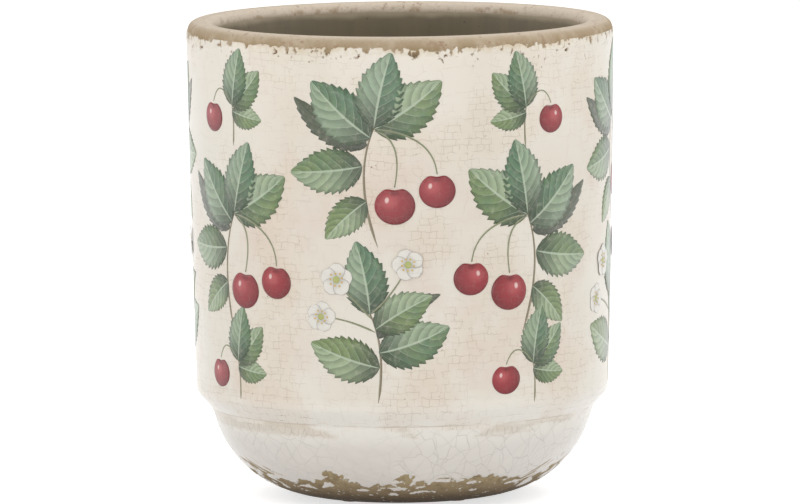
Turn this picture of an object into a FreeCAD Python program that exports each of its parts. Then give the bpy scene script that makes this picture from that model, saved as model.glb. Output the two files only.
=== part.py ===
# A round ceramic flower pot with a rounded lip, a stepped shoulder and a bowl-shaped base.
# The clay is turned about Z. It carries a cream glaze outside and a sealing glaze inside, stands on
# cork pads, and has a drain hole closed by a rubber plug that lifts out through the mouth.
# Millimetres, +Z up, origin on the ground under the middle of the pot.

import FreeCAD, Part
import Sketcher
import math
import os
from types import SimpleNamespace

# Driving dimensions
SIZES = {
    # clay pot, from the lip down the outside to the foot, then the inside
    "pot_height": 178.0,
    "rim_radius": 79.5,
    "wall_thickness": 10.0,
    "lip_round": 3.4,
    "wall_taper": 2.7,
    "shoulder_step": 5.5,
    "shoulder_rise": 6.1,
    "shoulder_round": 5.1,
    "crease_round": 3.3,
    "band_lean": 1.4,
    "band_rise": 4.75,
    "foot_radius": 31.7,
    "foot_ring_width": 9.0,
    "foot_edge_round": 0.8,
    "recess_depth": 2.0,
    "floor_thickness": 8.0,
    "floor_radius": 21.5,
    "drain_radius": 8.0,
    "drain_edge_round": 0.8,
    # glaze coats
    "outer_glaze_thickness": 0.6,
    "inner_glaze_thickness": 0.6,
    "bare_below_lip": 0.2,
    "bare_foot_height": 11.0,
    # rubber drain plug
    "plug_clearance": 0.3,
    "plug_rib_depth": 0.5,
    "plug_rib_width": 1.2,
    "plug_tip_length": 1.8,
    "plug_tip_inset": 0.9,
    "plug_flange_overlap": 4.5,
    "plug_flange_thickness": 2.8,
    "plug_flange_round": 1.0,
    "plug_neck_radius": 4.0,
    "plug_neck_height": 5.0,
    "plug_grip_radius": 6.5,
    "plug_grip_thickness": 4.0,
    "plug_grip_round": 1.4,
    # cork pads
    "pad_margin": 0.7,
    "pad_thickness": 1.0,
    "pad_edge_round": 0.25,
}

PAD_COUNT = 4
RIB_COUNT = 3
RIB_FLANK_SHARE = 0.25  # of a rib's width, on each side
MATCH_SHARE = 1e-6  # of the pot's height, how closely an edge has to follow a drawn corner
FULL_TURN = 360

# References to drawn points: the two ends and the middle of an element, and the origin
START, END, MIDDLE = range(1, 4)
ORIGIN = (-1, 1)

doc = FreeCAD.newDocument("FlowerPot")


class Size:
    """A length as a number, and as the formula that keeps it tied to the driving dimensions."""

    def __init__(self, value, formula):
        self.value = value
        self.formula = formula

    def __add__(self, other):
        return Size(self.value + other.value, f"({self.formula} + {other.formula})")

    def __sub__(self, other):
        return Size(self.value - other.value, f"({self.formula} - {other.formula})")

    def __mul__(self, share):
        return Size(self.value * share, f"({self.formula} * {share})")


def driving_dimensions():
    """Puts every driving dimension in a sheet, under its own name, and returns them by name."""
    sheet = doc.addObject("Spreadsheet::Sheet", "Sizes")
    sizes = {}
    for row, (name, value) in enumerate(SIZES.items(), start=1):
        sheet.set(f"A{row}", name)
        sheet.set(f"B{row}", str(value))
        sheet.setAlias(f"B{row}", name)
        sizes[name] = Size(value, f"Sizes.{name}")
    doc.recompute()
    return SimpleNamespace(**sizes)


size = driving_dimensions()
ZERO = Size(0, "0")

# Heights and radii that several pieces share
foot_height = size.pad_thickness
recess_height = foot_height + size.recess_depth
floor_height = recess_height + size.floor_thickness
plug_seat_height = floor_height + size.inner_glaze_thickness
lip_height = foot_height + size.pot_height
glaze_top_height = lip_height - size.lip_round - size.bare_below_lip
glaze_foot_height = foot_height + size.bare_foot_height
inner_radius = size.rim_radius - size.wall_thickness
ring_radius = size.foot_radius - size.foot_ring_width


def new_body(label):
    """A body whose label names its file."""
    body = doc.addObject("PartDesign::Body", label)
    body.Label = label
    return body


def new_sketch(body, plane_role):
    """A sketch on one of the body's own origin planes."""
    sketch = body.newObject("Sketcher::SketchObject", f"{body.Name}_outline")
    plane = next(feature for feature in body.Origin.OriginFeatures if feature.Role == plane_role)
    sketch.AttachmentSupport = [(plane, "")]
    sketch.MapMode = "FlatFace"
    return sketch


def add_line(sketch, start, end):
    """A straight element between two (radius, height) points."""
    return sketch.addGeometry(Part.LineSegment(FreeCAD.Vector(*start), FreeCAD.Vector(*end)))


def add_arc(sketch, middle, radius, first_angle, last_angle):
    """A round element that runs anticlockwise from one angle to another."""
    circle = Part.Circle(FreeCAD.Vector(*middle), FreeCAD.Vector(0, 0, 1), radius)
    return sketch.addGeometry(Part.ArcOfCircle(circle, first_angle, last_angle))


def relate(sketch, kind, *references):
    """A relation with no size of its own, such as two ends that coincide."""
    sketch.addConstraint(Sketcher.Constraint(kind, *references))


def measure(sketch, kind, *references):
    """A dimension between drawn elements that follows the size given last."""
    *elements, length = references
    number = sketch.addConstraint(Sketcher.Constraint(kind, *elements, length.value))
    sketch.setExpression(f"Constraints[{number}]", length.formula)


def pin(sketch, element, point, radius, height):
    """Holds a point at a radius from the axis and a height above the ground."""
    measure(sketch, "DistanceX", *ORIGIN, element, point, radius)
    measure(sketch, "DistanceY", *ORIGIN, element, point, height)


def join(sketch, first, second):
    """Makes two (element, point) ends one corner."""
    relate(sketch, "Coincident", *first, *second)


def connect(sketch, first, second):
    """A straight element from one drawn end to another."""
    element = add_line(sketch, sketch.getPoint(*first), sketch.getPoint(*second))
    join(sketch, first, (element, START))
    join(sketch, (element, END), second)
    return element


def turn(body, sketch):
    """Turns a closed outline about Z."""
    doc.recompute()
    turned = body.newObject("PartDesign::Revolution", f"{body.Name}_turned")
    turned.Profile = sketch
    turned.ReferenceAxis = (sketch, ["V_Axis"])
    sketch.Visibility = False
    doc.recompute()


def swept_edge(shape, corner):
    """The name of the circular edge that a drawn corner sweeps out."""
    tolerance = MATCH_SHARE * size.pot_height.value
    for number, edge in enumerate(shape.Edges, start=1):
        if isinstance(edge.Curve, Part.Circle):
            gaps = (edge.Curve.Radius - corner.x, edge.Curve.Center.z - corner.y)
            if max(map(abs, gaps)) < tolerance:
                return f"Edge{number}"
    raise RuntimeError(f"no edge follows the corner at {corner}")


def round_corners(body, sketch, name, corners, radius):
    """Rounds the edges that drawn corners sweep out, all to one radius."""
    base = body.Tip
    points = [sketch.getPoint(*corner) for corner in corners]
    fillet = body.newObject("PartDesign::Fillet", f"{body.Name}_{name}")
    fillet.Base = (base, [swept_edge(base.Shape, point) for point in points])
    fillet.setExpression("Radius", radius.formula)
    doc.recompute()


def draw_clay_outside(sketch):
    """The outside of the clay from the foot up: bowl, leaning band, shoulder's underside and wall."""
    lean = math.atan2(size.band_lean.value, size.band_rise.value)
    shoulder_radius = size.rim_radius - size.wall_taper
    crease_radius = shoulder_radius - size.shoulder_step
    band_radius = crease_radius - size.band_lean
    bowl_round = (band_radius - size.foot_radius).value / math.cos(lean)
    bowl_height = foot_height.value + bowl_round
    band_height = bowl_height - bowl_round * math.sin(lean)
    crease_height = band_height + size.band_rise.value
    shoulder_height = crease_height + size.shoulder_rise.value
    crease = (crease_radius.value, crease_height)
    shoulder = (shoulder_radius.value, shoulder_height)

    bowl = add_arc(sketch, (size.foot_radius.value, bowl_height), bowl_round, -math.pi / 2, -lean)
    band = add_line(sketch, (band_radius.value, band_height), crease)
    underside = add_line(sketch, crease, shoulder)
    wall = add_line(sketch, shoulder, (size.rim_radius.value, lip_height.value))

    pin(sketch, wall, END, size.rim_radius, lip_height)
    measure(sketch, "DistanceX", wall, START, wall, END, size.wall_taper)
    join(sketch, (wall, START), (underside, END))
    measure(sketch, "DistanceX", underside, START, underside, END, size.shoulder_step)
    measure(sketch, "DistanceY", underside, START, underside, END, size.shoulder_rise)
    join(sketch, (underside, START), (band, END))
    measure(sketch, "DistanceX", band, START, band, END, size.band_lean)
    measure(sketch, "DistanceY", band, START, band, END, size.band_rise)
    relate(sketch, "Tangent", bowl, END, band, START)
    measure(sketch, "DistanceX", *ORIGIN, bowl, MIDDLE, size.foot_radius)
    pin(sketch, bowl, START, size.foot_radius, foot_height)
    return bowl, band, underside, wall


def draw_inside(sketch, coat, top_height):
    """The inside of the pot, a coat's thickness off the clay: the wall, the bowl and the floor."""
    wall_radius = inner_radius - coat
    bowl_round = wall_radius - size.floor_radius
    bottom = floor_height + coat
    bowl_height = bottom + bowl_round

    wall = add_line(sketch, (wall_radius.value, top_height.value), (wall_radius.value, bowl_height.value))
    bowl = add_arc(sketch, (size.floor_radius.value, bowl_height.value), bowl_round.value, -math.pi / 2, 0)
    floor_edge = (size.floor_radius.value, bottom.value)
    floor = add_line(sketch, floor_edge, (size.drain_radius.value, bottom.value))

    pin(sketch, wall, START, wall_radius, top_height)
    relate(sketch, "Vertical", wall)
    relate(sketch, "Tangent", wall, END, bowl, END)
    measure(sketch, "Radius", bowl, bowl_round)
    relate(sketch, "Tangent", bowl, START, floor, START)
    relate(sketch, "Horizontal", floor)
    pin(sketch, floor, END, size.drain_radius, bottom)
    return wall, floor


def make_pot_body():
    """The clay: a thick wall with a rounded lip, and a foot ring round a recess with the drain hole."""
    body = new_body("pot_body")
    sketch = new_sketch(body, "XZ_Plane")
    bowl, band, underside, wall = draw_clay_outside(sketch)
    inner_wall, floor = draw_inside(sketch, ZERO, lip_height)
    lip = connect(sketch, (wall, END), (inner_wall, START))

    hole_edge = (size.drain_radius.value, recess_height.value)
    ring_edge = (ring_radius.value, recess_height.value)
    recess = add_line(sketch, hole_edge, ring_edge)
    ring = add_line(sketch, ring_edge, (ring_radius.value, foot_height.value))
    pin(sketch, recess, START, size.drain_radius, recess_height)
    pin(sketch, ring, START, ring_radius, recess_height)
    pin(sketch, ring, END, ring_radius, foot_height)
    join(sketch, (recess, END), (ring, START))
    connect(sketch, (floor, END), (recess, START))
    connect(sketch, (ring, END), (bowl, START))

    turn(body, sketch)
    round_corners(body, sketch, "lip", [(lip, START), (lip, END)], size.lip_round)
    round_corners(body, sketch, "shoulder", [(wall, START)], size.shoulder_round)
    round_corners(body, sketch, "crease", [(band, END)], size.crease_round)
    round_corners(body, sketch, "foot_edge", [(ring, END)], size.foot_edge_round)
    round_corners(body, sketch, "drain_edge", [(recess, START)], size.drain_edge_round)
    return body


def add_parallel(sketch, element, distance):
    """A straight element beside another one, further from the axis."""
    ends = [sketch.getPoint(element, point) for point in (START, END)]
    beside = add_line(sketch, *[end + FreeCAD.Vector(distance.value, 0, 0) for end in ends])
    relate(sketch, "Parallel", element, beside)
    return beside


def make_outer_glaze():
    """The cream coat outside, as thick all over, from below the lip to the bare foot."""
    body = new_body("outer_glaze")
    sketch = new_sketch(body, "XZ_Plane")
    coat = size.outer_glaze_thickness
    clay_bowl, band, underside, clay_wall = draw_clay_outside(sketch)
    sketch.toggleConstruction(clay_bowl)
    sketch.toggleConstruction(clay_wall)

    # the coat's back lies on the clay's wall and bowl, but not up to the lip or down to the foot
    shoulder = sketch.getPoint(clay_wall, START)
    wall = add_line(sketch, shoulder, (size.rim_radius.value, glaze_top_height.value))
    join(sketch, (wall, START), (clay_wall, START))
    relate(sketch, "PointOnObject", wall, END, clay_wall)
    measure(sketch, "DistanceY", *ORIGIN, wall, END, glaze_top_height)
    clay_arc = sketch.Geometry[clay_bowl]
    middle, radius, last_angle = clay_arc.Center, clay_arc.Radius, clay_arc.LastParameter
    first_angle = math.tau - math.asin((middle.y - glaze_foot_height.value) / radius)
    bowl = add_arc(sketch, middle, radius, first_angle, last_angle)
    join(sketch, (bowl, MIDDLE), (clay_bowl, MIDDLE))
    join(sketch, (bowl, END), (band, START))
    measure(sketch, "DistanceY", *ORIGIN, bowl, START, glaze_foot_height)

    # the coat's face runs beside its back
    face_wall = add_parallel(sketch, wall, coat)
    face_underside = add_parallel(sketch, underside, coat)
    face_band = add_parallel(sketch, band, coat)
    face_bowl = add_arc(sketch, middle, radius + coat.value, first_angle, last_angle)
    measure(sketch, "Distance", wall, END, face_wall, coat)
    measure(sketch, "Distance", underside, END, face_underside, coat)
    join(sketch, (face_wall, START), (face_underside, END))
    join(sketch, (face_underside, START), (face_band, END))
    relate(sketch, "Tangent", face_bowl, END, face_band, START)
    join(sketch, (face_bowl, MIDDLE), (clay_bowl, MIDDLE))
    top_edge = connect(sketch, (wall, END), (face_wall, END))
    relate(sketch, "Horizontal", top_edge)
    foot_edge = connect(sketch, (bowl, START), (face_bowl, START))
    relate(sketch, "PointOnObject", clay_bowl, MIDDLE, foot_edge)
    measure(sketch, "Distance", foot_edge, coat)

    turn(body, sketch)
    round_corners(body, sketch, "shoulder_back", [(wall, START)], size.shoulder_round)
    round_corners(body, sketch, "shoulder_face", [(face_wall, START)], size.shoulder_round + coat)
    round_corners(body, sketch, "crease_back", [(band, END)], size.crease_round)
    round_corners(body, sketch, "crease_face", [(face_band, END)], size.crease_round - coat)
    return body


def make_inner_glaze():
    """The sealing coat inside, from below the lip to the edge of the drain hole."""
    body = new_body("inner_glaze")
    sketch = new_sketch(body, "XZ_Plane")
    back_wall, back_floor = draw_inside(sketch, ZERO, glaze_top_height)
    face_wall, face_floor = draw_inside(sketch, size.inner_glaze_thickness, glaze_top_height)
    connect(sketch, (back_wall, START), (face_wall, START))
    connect(sketch, (back_floor, END), (face_floor, END))
    turn(body, sketch)
    return body


def make_drain_plug():
    """The rubber plug: its flange lies on the glazed floor and its ribbed stem fills the drain hole."""
    body = new_body("drain_plug")
    sketch = new_sketch(body, "XZ_Plane")
    rib_radius = size.drain_radius - size.plug_clearance
    stem_radius = rib_radius - size.plug_rib_depth
    stem_height = recess_height + size.plug_tip_length
    rib_pitch = (plug_seat_height - stem_height) * (1 / RIB_COUNT)
    rib_flank = size.plug_rib_width * RIB_FLANK_SHARE
    flange_radius = size.drain_radius + size.plug_flange_overlap
    flange_height = plug_seat_height + size.plug_flange_thickness
    neck_height = flange_height + size.plug_neck_height
    grip_height = neck_height + size.plug_grip_thickness

    # half the plug's outline, from the tip up
    corners = [(ZERO, recess_height), (stem_radius - size.plug_tip_inset, recess_height)]
    for rib in range(RIB_COUNT):
        bottom = stem_height + rib_pitch * rib
        top = bottom + size.plug_rib_width
        corners += [(stem_radius, bottom), (rib_radius, bottom + rib_flank)]
        corners += [(rib_radius, top - rib_flank), (stem_radius, top)]
    flange_edge = (flange_radius, flange_height)
    grip_edges = [(size.plug_grip_radius, neck_height), (size.plug_grip_radius, grip_height)]
    corners += [(stem_radius, plug_seat_height), (flange_radius, plug_seat_height), flange_edge]
    corners += [(size.plug_neck_radius, flange_height), (size.plug_neck_radius, neck_height)]
    corners += [*grip_edges, (ZERO, grip_height)]

    places = [(radius.value, height.value) for radius, height in corners]
    sides = [add_line(sketch, *ends) for ends in zip(places, places[1:] + places[:1])]
    for side, next_side in zip(sides, sides[1:] + sides[:1]):
        join(sketch, (side, END), (next_side, START))
    for side, (radius, height) in zip(sides, corners):
        if radius is ZERO:
            relate(sketch, "Vertical", *ORIGIN, side, START)
            measure(sketch, "DistanceY", *ORIGIN, side, START, height)
        else:
            pin(sketch, side, START, radius, height)

    turn(body, sketch)
    grip_starts = [(sides[corners.index(edge)], START) for edge in grip_edges]
    round_corners(body, sketch, "grip", grip_starts, size.plug_grip_round)
    flange_start = (sides[corners.index(flange_edge)], START)
    round_corners(body, sketch, "flange", [flange_start], size.plug_flange_round)
    return body


def make_foot_pad(number):
    """A cork disc under the middle of the foot ring, with an eased lower edge."""
    body = new_body(f"foot_pad_{number}")
    sketch = new_sketch(body, "XY_Plane")
    half_ring = size.foot_ring_width * 0.5
    pad_radius = half_ring - size.pad_margin
    pitch_radius = ring_radius + half_ring
    circle = Part.Circle(FreeCAD.Vector(0, 0, 0), FreeCAD.Vector(0, 0, 1), pad_radius.value)
    disc = sketch.addGeometry(circle)
    relate(sketch, "Coincident", disc, MIDDLE, *ORIGIN)
    measure(sketch, "Radius", disc, pad_radius)
    pad = body.newObject("PartDesign::Pad", f"{body.Name}_disc")
    pad.Profile = sketch
    pad.setExpression("Length", size.pad_thickness.formula)
    sketch.Visibility = False
    doc.recompute()

    fillet = body.newObject("PartDesign::Fillet", f"{body.Name}_edge")
    fillet.Base = (pad, [swept_edge(pad.Shape, FreeCAD.Vector(pad_radius.value, 0, 0))])
    fillet.setExpression("Radius", size.pad_edge_round.formula)
    angle = FULL_TURN * (number - 0.5) / PAD_COUNT
    body.setExpression("Placement.Base.x", f"{pitch_radius.formula} * cos({angle} deg)")
    body.setExpression("Placement.Base.y", f"{pitch_radius.formula} * sin({angle} deg)")
    return body


pieces = [make_pot_body(), make_outer_glaze(), make_inner_glaze(), make_drain_plug()]
pieces += [make_foot_pad(number) for number in range(1, PAD_COUNT + 1)]
doc.recompute()

for item in doc.Objects:
    if {"Invalid", "Error"} & set(item.State):
        raise RuntimeError(f"{item.Label} failed to compute")
for piece in pieces:
    if piece.Shape.isNull() or not piece.Shape.isValid():
        raise RuntimeError(f"{piece.Label} has no valid shape")

os.makedirs("parts", exist_ok=True)
for piece in pieces:
    piece.Shape.exportStep(f"parts/{piece.Label}.step")
    print(piece.Label, round(piece.Shape.Volume, 1), "mm3 in", len(piece.Shape.Solids), "solid")
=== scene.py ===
import math
import random
from bisect import bisect

import bmesh
import bpy
from mathutils import Matrix, Vector, noise


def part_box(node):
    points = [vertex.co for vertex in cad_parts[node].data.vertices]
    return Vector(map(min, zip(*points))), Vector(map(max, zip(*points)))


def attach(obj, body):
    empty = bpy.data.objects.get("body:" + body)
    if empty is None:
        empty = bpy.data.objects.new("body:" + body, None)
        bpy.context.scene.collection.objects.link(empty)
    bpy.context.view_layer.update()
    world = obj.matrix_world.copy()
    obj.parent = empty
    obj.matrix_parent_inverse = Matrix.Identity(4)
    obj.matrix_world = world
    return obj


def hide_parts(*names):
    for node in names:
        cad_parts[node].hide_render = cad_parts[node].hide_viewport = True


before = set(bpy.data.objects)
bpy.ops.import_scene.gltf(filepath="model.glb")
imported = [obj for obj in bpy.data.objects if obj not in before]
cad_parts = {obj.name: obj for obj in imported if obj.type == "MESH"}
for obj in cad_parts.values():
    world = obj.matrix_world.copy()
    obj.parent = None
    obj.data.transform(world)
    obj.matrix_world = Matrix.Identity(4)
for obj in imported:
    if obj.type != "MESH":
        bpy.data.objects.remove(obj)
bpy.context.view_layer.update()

# Clay pot
# Buff earthenware, slip-cast in a plaster mould, fettled at the lip and the foot, and fired.
# The lip and the foot are never glazed: there the clay shows, tan above and brown below.
clay_low, clay_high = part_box("pot_body")
foot_height = clay_low.z
lip_height = clay_high.z
rim_radius = 0.0795
wall_thickness = 0.010
wall_taper = 0.0027
lip_round = 0.0034
shoulder_step = 0.0055
shoulder_rise = 0.0061
shoulder_round = 0.0051
crease_round = 0.0033
band_lean = 0.0014
band_rise = 0.00475
foot_radius = 0.0317
foot_ring_width = 0.009
foot_edge_round = 0.0008
recess_depth = 0.002
floor_thickness = 0.008
floor_radius = 0.0215
drain_radius = 0.008
drain_edge_round = 0.0008

shoulder_radius = rim_radius - wall_taper
crease_radius = shoulder_radius - shoulder_step
band_slope = math.atan2(band_lean, band_rise)
bowl_round = (crease_radius - band_lean - foot_radius) / math.cos(band_slope)
crease_height = foot_height + bowl_round * (1 - math.sin(band_slope)) + band_rise
shoulder_height = crease_height + shoulder_rise
bowl_corner = crease_radius - (crease_height - foot_height) * math.tan(band_slope)
bore_radius = rim_radius - wall_thickness
floor_height = foot_height + recess_depth + floor_thickness
inner_bowl_round = bore_radius - floor_radius
recess_height = foot_height + recess_depth
ring_radius = foot_radius - foot_ring_width

outside_corners = [
    (bowl_corner, foot_height, bowl_round),
    (crease_radius, crease_height, crease_round),
    (shoulder_radius, shoulder_height, shoulder_round),
    (rim_radius, lip_height, lip_round),
]
inside_corners = [
    (bore_radius, lip_height, lip_round),
    (bore_radius, floor_height, inner_bowl_round),
    (drain_radius, floor_height, 0),
    (drain_radius, recess_height, drain_edge_round),
    (ring_radius, recess_height, 0),
    (ring_radius, foot_height, foot_edge_round),
]


def rounded(corners, turn_step):
    """The points of a closed outline of (radius, height, rounding) corners, each rounded by an arc."""
    spots = [Vector((corner[0], 0, corner[1])) for corner in corners]
    points = []
    for number, corner in enumerate(spots):
        rounding = corners[number][2]
        if not rounding:
            points.append(corner)
            continue
        back = (spots[number - 1] - corner).normalized()
        ahead = (spots[(number + 1) % len(spots)] - corner).normalized()
        half_gap = back.angle(ahead) / 2
        middle = corner + (back + ahead).normalized() * rounding / math.sin(half_gap)
        first = (corner + back * rounding / math.tan(half_gap) - middle).normalized()
        last = (corner + ahead * rounding / math.tan(half_gap) - middle).normalized()
        steps = math.ceil((math.pi - 2 * half_gap) / turn_step)
        points += [middle + first.slerp(last, step / steps) * rounding for step in range(steps + 1)]
    return points


def turned(points, steps):
    """A mesh of a closed outline turned about Z, as on a wheel."""
    mesh = bmesh.new()
    verts = [mesh.verts.new(point) for point in points]
    edges = [mesh.edges.new(pair) for pair in zip(verts, verts[1:] + verts[:1])]
    bmesh.ops.spin(mesh, geom=verts + edges, cent=(0, 0, 0), axis=(0, 0, 1), angle=2 * math.pi,
                   steps=steps, use_merge=True)
    return mesh


def finish_piece(mesh, name, material, crease_angle):
    """Makes an object of a mesh, smooth but for its sharp edges, that rides on the pot."""
    bmesh.ops.recalc_face_normals(mesh, faces=mesh.faces)
    for face in mesh.faces:
        face.smooth = True
    for edge in mesh.edges:
        edge.smooth = edge.calc_face_angle(0) < crease_angle
    data = bpy.data.meshes.new(name)
    mesh.to_mesh(data)
    mesh.free()
    data.materials.append(material)
    piece = bpy.data.objects.new(name, data)
    bpy.context.collection.objects.link(piece)
    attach(piece, "pot")
    return piece


class Nodes:
    """A tree of shader nodes, and the few steps that patterns and colours are made with."""

    def __init__(self, tree):
        self.tree = tree

    def add(self, kind, inputs, **settings):
        """The outputs of a new node, whose inputs are plain values or other nodes' outputs."""
        node = self.tree.nodes.new(kind)
        for name, value in settings.items():
            setattr(node, name, value)
        for name, value in inputs.items():
            if isinstance(value, bpy.types.NodeSocket):
                self.tree.links.new(value, node.inputs[name])
            else:
                node.inputs[name].default_value = value
        return node.outputs

    def math(self, operation, first, second=0.0):
        """A plain operation on one value or two."""
        return self.add("ShaderNodeMath", {0: first, 1: second}, operation=operation)["Value"]

    def times(self, first, second):
        """The product of two values."""
        return self.math("MULTIPLY", first, second)

    def between(self, value, band):
        """A soft step of a value, from 0 at the start of a band to 1 at its end."""
        inputs = {"Value": value, "From Min": band[0], "From Max": band[1]}
        return self.add("ShaderNodeMapRange", inputs, interpolation_type="SMOOTHSTEP")["Result"]

    def blend(self, share, under, over, strength=None):
        """One colour laid over another by a share, at a strength."""
        if strength is not None:
            share = self.times(share, strength)
        # A mix node has its colours at inputs 6 and 7, and their blend at output 2.
        return self.add("ShaderNodeMix", {0: share, 6: under, 7: over}, data_type="RGBA")[2]


class Finish(Nodes):
    """A material in the making, whose patterns read their place on the piece."""

    def __init__(self, name, colour, roughness):
        self.material = bpy.data.materials.new(name)
        self.material.use_nodes = True
        super().__init__(self.material.node_tree)
        self.shader = self.tree.nodes["Principled BSDF"].inputs
        self.shader["Base Color"].default_value = colour
        self.shader["Roughness"].default_value = roughness
        self.colour = colour
        self.place = self.add("ShaderNodeTexCoord", {})["Object"]

    def attribute(self, name):
        """A value that the piece's mesh carries."""
        return self.add("ShaderNodeAttribute", {}, attribute_name=name)["Fac"]

    def cloud(self, size, detail=4.0, roughness=0.55, place=None):
        """An even random pattern of patches of about one size."""
        spot = self.place if place is None else place
        inputs = {"Vector": spot, "Scale": 1 / size, "Detail": detail, "Roughness": roughness}
        return self.add("ShaderNodeTexNoise", inputs)["Fac"]

    def patches(self, size, band, detail=4.0):
        """Soft patches of about one size: the lower their band, the more of them."""
        return self.between(self.cloud(size, detail), band)

    def layer(self, share, colour, strength=None):
        """Lays a colour over those before it, by a share, at a strength."""
        self.colour = self.blend(share, self.colour, colour, strength)
        self.tree.links.new(self.colour, self.shader["Base Color"])

    def emboss(self, height, depth):
        """Presses a pattern into the surface."""
        bump = self.add("ShaderNodeBump", {"Height": height, "Distance": depth, "Strength": 1.0})
        self.tree.links.new(bump["Normal"], self.shader["Normal"])


def make_clay():
    """Bare fired clay: pale on the lip's top, partly rubbed and partly painted light from above, with a
    painted highlight along its inner edge; rusty by the glaze; and brown at the foot, painted darker
    towards its bottom edge as shade.
    """
    lip_tan = (0.405, 0.305, 0.19, 1)
    lip_pale_rubbed_and_lit = (0.71, 0.605, 0.475, 1)
    lip_inner_highlight = (0.785, 0.67, 0.54, 1)
    ochre = (0.32, 0.23, 0.125, 1)
    chip_brown = (0.20, 0.14, 0.085, 1)
    iron_red = (0.27, 0.135, 0.075, 1)
    seep_brown = (0.38, 0.25, 0.125, 1)
    foot_brown = (0.305, 0.23, 0.14, 1)
    foot_pale = (0.42, 0.335, 0.195, 1)
    foot_dark = (0.17, 0.125, 0.075, 1)
    # Dark brown of the painted shade at the bottom of the foot, also used for the grain specks.
    shade_and_grain_brown = (0.066, 0.046, 0.028, 1)
    glaze_speck = (0.60, 0.54, 0.455, 1)
    gloss = 0.2
    blotch_size = 0.011
    mottle_size = 0.0055
    fleck_size = 0.0024
    speck_size = 0.0017
    grain_size = 0.0009
    grain_depth = 0.00012
    lip_band = (0.150, 0.160)
    rub_and_light_band = (0.0797, 0.0763)
    inner_highlight_band = (0.0737, 0.0718)
    bloom_band, bloom_share = (0.42, 0.68), 0.35
    ochre_band, ochre_blotch_band = (0.1768, 0.1742), (0.7, 0.35)
    chip_band = (0.1742, 0.1722)
    seep_height_band, seep_radius_band = (0.1782, 0.1762), (0.0732, 0.0716)
    seep_band, seep_share = (0.50, 0.66), 0.6
    pale_band = (0.007, 0.014)
    mottle_band, mottle_share = (0.48, 0.68), 0.55
    foot_shade_band = (0.0088, 0.0022)
    speck_band, speck_share = (0.655, 0.70), 0.7
    rust_fleck_band, rust_blotch_band, rust_share = (0.54, 0.70), (0.42, 0.62), 0.55
    grain_band, grain_share = (0.40, 0.75), 0.09

    clay = Finish("buff_clay", foot_brown, roughness=0.75)
    clay.shader["Specular IOR Level"].default_value = gloss
    spot = clay.add("ShaderNodeSeparateXYZ", {"Vector": clay.place})
    height = spot["Z"]
    ring = clay.add("ShaderNodeCombineXYZ", {"X": spot["X"], "Y": spot["Y"]})["Vector"]
    radius = clay.add("ShaderNodeVectorMath", {0: ring}, operation="LENGTH")["Value"]
    blotch = clay.cloud(blotch_size)
    mottle = clay.cloud(mottle_size)
    grain = clay.cloud(grain_size, detail=3.0)
    stained = clay.times(clay.between(height, ochre_band), clay.between(blotch, ochre_blotch_band))
    seep = clay.times(clay.between(height, seep_height_band), clay.between(radius, seep_radius_band))
    seep = clay.times(seep, clay.between(mottle, seep_band))
    rust = clay.times(clay.patches(fleck_size, rust_fleck_band, detail=3.0),
                      clay.between(blotch, rust_blotch_band))

    # Partly painted light: the lip pales from its outer face to its top, partly rubbed and partly where
    # light from above falls on the top.
    lip = clay.blend(clay.between(radius, rub_and_light_band), lip_tan, lip_pale_rubbed_and_lit)
    # Painted highlight: a pale line along the lip's inner edge.
    lip = clay.blend(clay.between(radius, inner_highlight_band), lip, lip_inner_highlight)
    lip = clay.blend(clay.between(blotch, bloom_band), lip, lip_pale_rubbed_and_lit, bloom_share)
    lip = clay.blend(stained, lip, ochre)
    lip = clay.blend(clay.between(height, chip_band), lip, chip_brown)
    lip = clay.blend(seep, lip, seep_brown, seep_share)
    clay.layer(clay.between(height, pale_band), foot_pale)
    clay.layer(clay.between(mottle, mottle_band), foot_dark, mottle_share)
    # Painted shade: the foot darkens towards its bottom edge, where it curves under towards the floor.
    clay.layer(clay.between(height, foot_shade_band), shade_and_grain_brown)
    clay.layer(clay.patches(speck_size, speck_band, detail=2.0), glaze_speck, speck_share)
    clay.layer(clay.between(height, lip_band), lip)
    clay.layer(rust, iron_red, rust_share)
    clay.layer(clay.between(grain, grain_band), shade_and_grain_brown, grain_share)
    clay.emboss(grain, grain_depth)
    return clay.material


clay_turn_step = math.radians(5)
clay_sides = 256
clay_crease = math.radians(40)
clay_pot = finish_piece(turned(rounded(outside_corners + inside_corners, clay_turn_step), clay_sides),
                        "clay_pot", make_clay(), clay_crease)
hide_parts("pot_body")

# Cream glaze
# A thick opaque glaze, dipped and rubbed back while raw. It has crazed all over in firing, and has
# flaked off in a ragged line under the lip and round the foot. It is one coat, in a wall and a bowl.
coat = 0.0005
sunk = 0.0003
flake_edge = 0.00016
merge_gap = 0.00001
skin_step = math.radians(0.5)
skin = rounded(outside_corners + inside_corners, skin_step)
widest = max(range(len(skin)), key=lambda number: skin[number].x)
skin = skin[:widest + 1]
skin_runs = [0.0]
for lower, upper in zip(skin, skin[1:]):
    skin_runs.append(skin_runs[-1] + (upper - lower).length)
skin_heights = [point.z for point in skin]


def skin_at(values, value):
    """A point of the clay's outside and the way it faces, found by its run or by its height."""
    step = min(max(bisect(values, value) - 1, 0), len(values) - 2)
    share = (value - values[step]) / (values[step + 1] - values[step])
    rise = skin[step + 1] - skin[step]
    facing = Vector((rise.z, 0, -rise.x)).normalized()
    run = skin_runs[step] + share * (skin_runs[step + 1] - skin_runs[step])
    return skin[step] + rise * share, facing, run


def patch(point, size, seed):
    """Smooth noise of about one size across, from about -0.7 to 0.7."""
    return noise.noise(point / size + Vector((seed, seed, seed)))


def lobes(point, waves, seed):
    """A lobed edge, round on one side and cusped on the other, from (size, swing) waves."""
    return sum((abs(patch(point, size, seed)) * 2 - 0.5) * swing for size, swing in waves)


def soft_step(value, start, end):
    """A soft step from 0 at the start to 1 at the end."""
    share = min(max((value - start) / (end - start), 0.0), 1.0)
    return share * share * (3 - 2 * share)


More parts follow.
